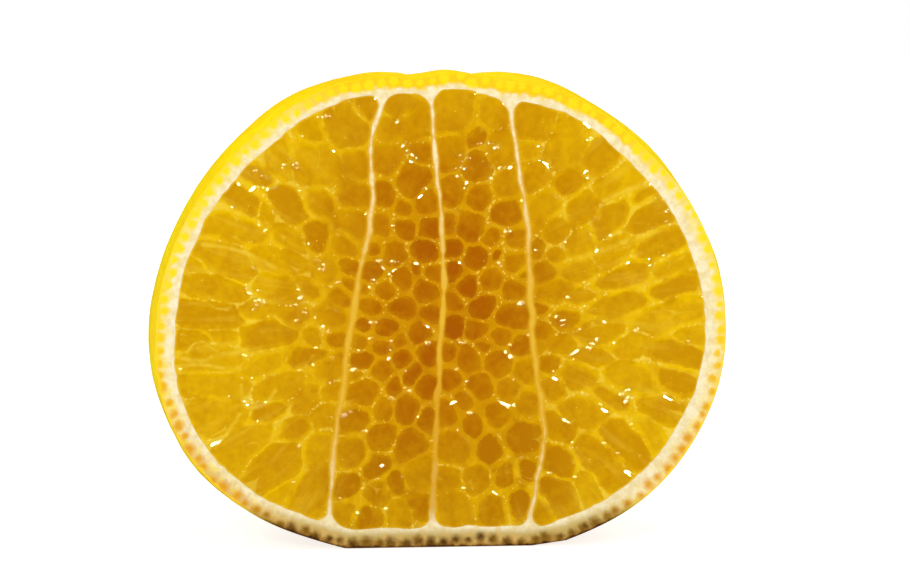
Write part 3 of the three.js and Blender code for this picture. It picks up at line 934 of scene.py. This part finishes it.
def make_pulp_material():
    n = Nodes("pulp")
    edge = n.field("edge")
    right, up = n.across()
    # Painted glow: the pulp is painted darker and more orange in the fruit's middle, and lighter and yellower
    # outwards, as if light shone through its thinner rim.
    out = n.between(n.length(n.times(right, 1 / 24), n.times(up, 1 / 40)), 0.05, 1.0)
    dark = n.mix(out, srgb(170, 88, 0), srgb(206, 146, 0))
    light = n.mix(out, srgb(208, 143, 0), srgb(242, 195, 2))
    # The sacs are also darker low down in the middle strips.
    lower = n.times(n.between(up, -8, -20, 0, 0.7), n.between(n.sum("ABSOLUTE", right), 17, 10))
    dark = n.mix(lower, dark, srgb(180, 114, 0))

    # A sac is darkest in its middle. Its rim, the juice between the sacs and what shows below are lighter.
    # The sacs in the fruit's middle are the most even, and have the widest gaps with the sharpest rims.
    side = n.between(out, 0.15, 0.6)
    edge = n.sum("ADD", edge, n.between(n.noise(0.5, 3), 0.25, 0.75, -0.08, 0.08))
    gap = n.sum("ADD", n.between(n.field("gap"), 0, 1, -0.04, 0.08), n.times(n.less(side), 0.06))
    soft = n.between(n.field("softness"), 0, 1, 0.1, n.sum("MULTIPLY_ADD", side, 0.4, 0.2))
    inside = n.between(n.sum("SUBTRACT", edge, gap), 0.0, soft)
    centre = n.between(edge, 0.1, 0.8, 0.78, 1.0)
    tone = n.between(n.field("tone"), 0, 1, n.sum("MULTIPLY_ADD", side, -0.22, 0.78), 1.06)
    body = n.times(n.times(inside, centre), tone)
    merged = n.times(n.between(n.noise(3.2, 2), 0.38, 0.62, 0.0, 0.75), side)
    below = n.between(n.field("deep"), 0.0, 0.5, 0, 0.25)
    share = n.sum("MAXIMUM", body, n.sum("MAXIMUM", below, merged))
    share = n.sum("ADD", share, n.between(n.noise(0.7, 4), 0.3, 0.7, -0.12, 0.12))
    share = n.sum("ADD", share, n.between(n.noise(2.2, 3), 0.3, 0.7, -0.12, 0.12))
    broad = n.between(n.noise(6, 2), 0.4, 0.65, 1, 0.82)
    colour = n.mix(n.times(share, broad), light, dark)
    # Painted glow: the pale lines are lighter and yellower outwards as well.
    pale = n.mix(out, srgb(218, 164, 16), srgb(243, 205, 56))
    width = n.between(n.noise(1.3, 2), 0.3, 0.7, -0.1, 0.22)
    line = n.between(edge, n.sum("SUBTRACT", width, 0.26), width, 1, 0)
    often = n.sum("ADD", n.noise(3, 2), n.between(out, 0.2, 0.9, -0.08, 0.06))
    often = n.between(often, 0.4, 0.65, 0, 0.8)
    thread = n.times(n.field("thread"), n.between(n.noise(1.2), 0.3, 0.6, 0.15, 0.65))
    line = n.sum("MAXIMUM", n.times(line, often), thread)
    seen = n.times(n.between(n.noise(2.6, 2), 0.45, 0.6, 0, 0.5), side)
    line = n.sum("MAXIMUM", line, n.times(n.between(n.field("deep"), -0.16, 0.06, 1, 0), seen))
    line = n.sum("MAXIMUM", line, n.between(n.field("rim"), 0.05, 0.35, 0.5, 0))
    streak = n.between(n.fibres(0.7, 6.0), 0.5, 0.72, 0, 0.22)
    line = n.sum("MAXIMUM", line, n.times(streak, n.between(out, 0.35, 0.9)))
    colour = n.mix(line, colour, pale)
    # Painted highlights: pale yellow specks, most of them in the gaps between sacs and near the rim, painted
    # as the glints of wet juice.
    wet = n.between(n.noise(3.5, 1), 0.35, 0.65, -0.09, 0.03)
    wet = n.sum("ADD", wet, n.between(n.field("rim"), 0.1, 0.3, 0.05, 0))
    painted_glints = n.sum("ADD", n.sum("ADD", n.noise(0.4, 1), wet), n.between(edge, -0.05, 0.2, 0.06, -0.08))
    colour = n.mix(n.between(painted_glints, 0.64, 0.73, 0, 0.65), colour, srgb(248, 212, 84))
    n.fill(n.shader, Base_Color=colour, Roughness=0.08)
    n.fill(n.shader, Coat_Weight=1.0, Coat_Roughness=0.04, Coat_IOR=1.9)
    return n.material


def make_cut_material():
    """The cut through the peel: yellow oil glands at the rim, then pale pith and membranes."""
    n = Nodes("pith")
    under = n.field("under_skin")
    right, up = n.across()
    low = n.between(up, -21, -25)
    fine = n.between(n.noise(0.7, 4), 0.3, 0.7)
    pith = n.mix(fine, srgb(229, 207, 150), srgb(242, 229, 192))
    # Painted shade: near the rind at the bottom the pith is painted a darker, greyer cream, where little
    # light reaches.
    pith = n.mix(n.times(low, n.between(under, 2.4, 1.2)), pith, srgb(192, 166, 92))

    # The pith is pale yellow near the rind, and tan there low down, but not at the far right.
    mottling = n.between(n.noise(0.9, 5), 0.25, 0.75, -0.7, 0.7)
    tint = n.times(n.less(low), n.between(right, 12, 26, 1, 0.65))
    near_rind = n.between(n.sum("MULTIPLY_ADD", mottling, 0.9, under), 0.1, 1.9, tint, 0)
    pith = n.mix(near_rind, pith, srgb(241, 215, 80))
    tan = n.times(n.between(up, -10, -20), n.between(right, 20, 8, 0, 0.75))
    pith = n.mix(n.between(n.sum("SUBTRACT", under, mottling), 2.0, 0.5, 0, tan), pith, srgb(214, 172, 92))

    # The rind is solid yellow at the top and mottled at the left. Elsewhere it is a thin layer, yellow or
    # brown. Its colour is painted shade downwards: it turns orange below the middle and brown at the bottom,
    # where less light reaches.
    at_top = n.times(n.between(up, 12, 20), n.between(right, -20, -10))
    at_left = n.times(n.between(right, -8, -18), n.between(up, -14, -4))
    solid = n.between(n.sum("MULTIPLY_ADD", mottling, 0.35, under), 1.1, 1.6, at_top, 0)
    mottled = n.between(n.sum("ADD", mottling, under), -0.2, 0.9, n.times(at_left, 0.45), 0)
    thin = n.between(n.sum("MULTIPLY_ADD", mottling, 0.5, under), 0.2, 0.8, 0.35, 0)
    brown = n.between(n.sum("MULTIPLY_ADD", mottling, 0.6, under), 0.2, 1.2, n.times(low, 0.8), 0)
    rind = n.mix(n.between(up, 8, -16), srgb(242, 196, 0), srgb(232, 172, 30))
    rind = n.mix(low, rind, srgb(158, 108, 22))
    yellow = n.sum("MAXIMUM", n.sum("MAXIMUM", solid, mottled), n.sum("MAXIMUM", thin, brown))
    colour = n.mix(yellow, pith, rind)

    # The oil glands are painted shade downwards: yellow above, orange lower down and dark brown at the
    # bottom, where less light reaches. They have softer rims low down. A thin line runs all along the cut's
    # own rim.
    gland_colour = n.mix(n.between(up, 4, -16), srgb(250, 216, 0), srgb(224, 154, 0))
    shaded_glands = n.mix(n.between(n.noise(1.6, 2), 0.4, 0.6), srgb(84, 50, 2), srgb(122, 84, 2))
    gland_colour = n.mix(low, gland_colour, shaded_glands)
    blur = n.between(n.noise(0.5, 3), 0.25, 0.75, -0.2, 0.2)
    spread = n.between(up, -6, -18, 0, 0.35)
    gland = n.sum("ADD", n.field("gland"), blur)
    gland = n.between(gland, n.sum("SUBTRACT", 0.5, spread), n.sum("ADD", 1.3, spread), 0.95, 0)
    colour = n.mix(gland, colour, gland_colour)
    # Painted shadow: the line is dark brown at the bottom, where the fruit meets the floor.
    outermost = n.mix(low, srgb(250, 212, 0), srgb(66, 32, 2))
    cover = n.between(low, 0, 1, 0.7, 1)
    cover = n.between(n.sum("MULTIPLY_ADD", mottling, 0.25, under), 0.0, 0.4, cover, 0)
    colour = n.mix(cover, colour, outermost)

    # The membranes are palest at the top and the bottom. The middle one is faint low down.
    strip = n.mix(n.between(up, 0, 22), srgb(222, 176, 44), srgb(243, 226, 176))
    strip = n.mix(n.between(up, -10, -23), strip, srgb(232, 212, 150))
    faint = n.times(n.between(n.sum("ABSOLUTE", right), 6, 3), n.between(up, -3, -12, 0, 0.8))
    strip = n.mix(faint, strip, srgb(206, 150, 22))
    strip = n.mix(n.between(n.noise(0.8, 3), 0.4, 0.7, 0, 0.5), strip, srgb(222, 166, 26))
    strip = n.mix(n.between(n.field("to_pulp"), 0.0, 0.23, 0.9, 0), strip, srgb(216, 156, 12))
    colour = n.mix(n.field("membrane"), colour, strip)
    n.fill(n.shader, Base_Color=colour, Roughness=0.22, Specular_IOR_Level=0.3)
    return n.material


def make_skin_material():
    n = Nodes("skin")
    _, up = n.across()
    pit = n.between(n.field("gland"), 0.15, 0.55, 1, 0)
    patch = n.between(n.noise(9, 2), 0.35, 0.65)
    colour = n.mix(patch, srgb(250, 214, 0), srgb(253, 228, 0))
    colour = n.mix(n.between(up, 16, 26, 0, 0.7), colour, srgb(250, 206, 0))
    colour = n.mix(n.times(pit, 0.5), colour, srgb(244, 196, 0))
    # Painted shadow: the skin is brown low down, where it meets the floor.
    colour = n.mix(n.between(up, -18, -27, 0, 0.85), colour, srgb(150, 96, 26))
    n.fill(n.shader, Base_Color=colour, Roughness=0.38, Specular_IOR_Level=0.2)
    n.bump(n.noise(0.6, 2), 0.04)
    return n.material


# The stage.


def add_floor():
    mesh = bpy.data.meshes.new("floor")
    side = FLOOR_HALF_WIDTH
    corners = [(-side, -side, 0), (side, -side, 0), (side, side, 0), (-side, side, 0)]
    mesh.from_pydata(corners, [], [(0, 1, 2, 3)])
    floor = add_object("floor", mesh)
    floor.location.z = -FLOOR_GAP
    floor.visible_glossy = False
    n = Nodes("floor")
    away = n.tree.nodes.new("ShaderNodeVectorMath")
    away.operation = "LENGTH"
    n.give(away.inputs[0], n.place)
    glow = n.between(away.outputs["Value"], 0.06, 0.4, 0.8, 1.1)
    n.fill(n.shader, Base_Color=(0.35, 0.35, 0.35, 1), Roughness=0.9)
    n.fill(n.shader, Emission_Color=(1, 1, 1, 1), Emission_Strength=glow)
    mesh.materials.append(n.material)


def add_world():
    """White behind everything, and a dim even light on the fruit."""
    world = bpy.data.worlds.new("studio")
    world.use_nodes = True
    world.cycles_visibility.glossy = False
    tree = world.node_tree
    dim = tree.nodes["Background"]
    dim.inputs["Color"].default_value = (1, 1, 1, 1)
    dim.inputs["Strength"].default_value = 0.3
    white = tree.nodes.new("ShaderNodeBackground")
    white.inputs["Color"].default_value = (1, 1, 1, 1)
    seen = tree.nodes.new("ShaderNodeLightPath")
    mixed = tree.nodes.new("ShaderNodeMixShader")
    tree.links.new(seen.outputs["Is Camera Ray"], mixed.inputs[0])
    tree.links.new(dim.outputs[0], mixed.inputs[1])
    tree.links.new(white.outputs[0], mixed.inputs[2])
    tree.links.new(mixed.outputs[0], tree.nodes["World Output"].inputs["Surface"])
    bpy.context.scene.world = world


def add_light(name, place, size, power, lights=True, glints=True, colour=(1, 1, 1)):
    """A square soft light that faces the fruit. It lights the fruit, shows as glints, or does both."""
    data = bpy.data.lights.new(name, "AREA")
    data.size = size
    data.energy = power
    data.color = colour
    light = add_object(name, data)
    light.visible_diffuse = lights
    light.visible_glossy = glints
    light.location = place
    aim = Vector((0, 0, 0.027)) - Vector(place)
    light.rotation_euler = aim.to_track_quat("-Z", "Y").to_euler()


def add_camera():
    data = bpy.data.cameras.new("camera")
    data.sensor_width = SENSOR_WIDTH
    data.lens = SENSOR_WIDTH * CAMERA_DISTANCE / (FRAME_WIDTH / PIXELS_PER_MM)
    data.clip_start = 0.01
    data.clip_end = 20
    camera = add_object("camera", data)
    a, e = CAMERA_AZIMUTH, CAMERA_ELEVATION
    back = Vector((math.sin(a) * math.cos(e), -math.cos(a) * math.cos(e), math.sin(e)))
    right = Vector((math.cos(a), math.sin(a), 0))
    up = back.cross(right)
    aim = Vector(in_part_frame(np.zeros(3)))
    aim += (right * FRAME_OFFSET[0] + up * FRAME_OFFSET[1]) / PIXELS_PER_MM * MM
    camera.location = aim + back * CAMERA_DISTANCE * MM
    camera.rotation_euler = back.to_track_quat("Z", "Y").to_euler()
    bpy.context.scene.camera = camera


pulp = make_pulp_material()
for number, (name, segment) in enumerate(SEGMENTS.items()):
    make_pulp(name, segment, 10 + number, pulp)
make_peel([make_skin_material(), make_cut_material()])
add_floor()
add_world()
add_light("key", (-0.35, -1.0, 0.6), 0.14, 3.9, glints=False)
add_light("fill", (0.6, -0.9, 0.5), 0.14, 1.9, glints=False)
add_light("top", (0.1, 0.2, 1.0), 0.6, 4.5)
add_light("side", (-0.8, 0.1, 0.8), 0.6, 5, glints=False)
add_light("far side", (0.8, 0.1, 0.8), 0.6, 4.5, glints=False)
add_light("left glints", (-0.35, -1.0, 0.55), 0.12, 15, lights=False, colour=GLINT_COLOUR)
add_light("right glints", (0.45, -1.0, 0.4), 0.12, 5, lights=False, colour=GLINT_COLOUR)
add_camera()
bpy.context.scene.view_settings.view_transform = "Standard"
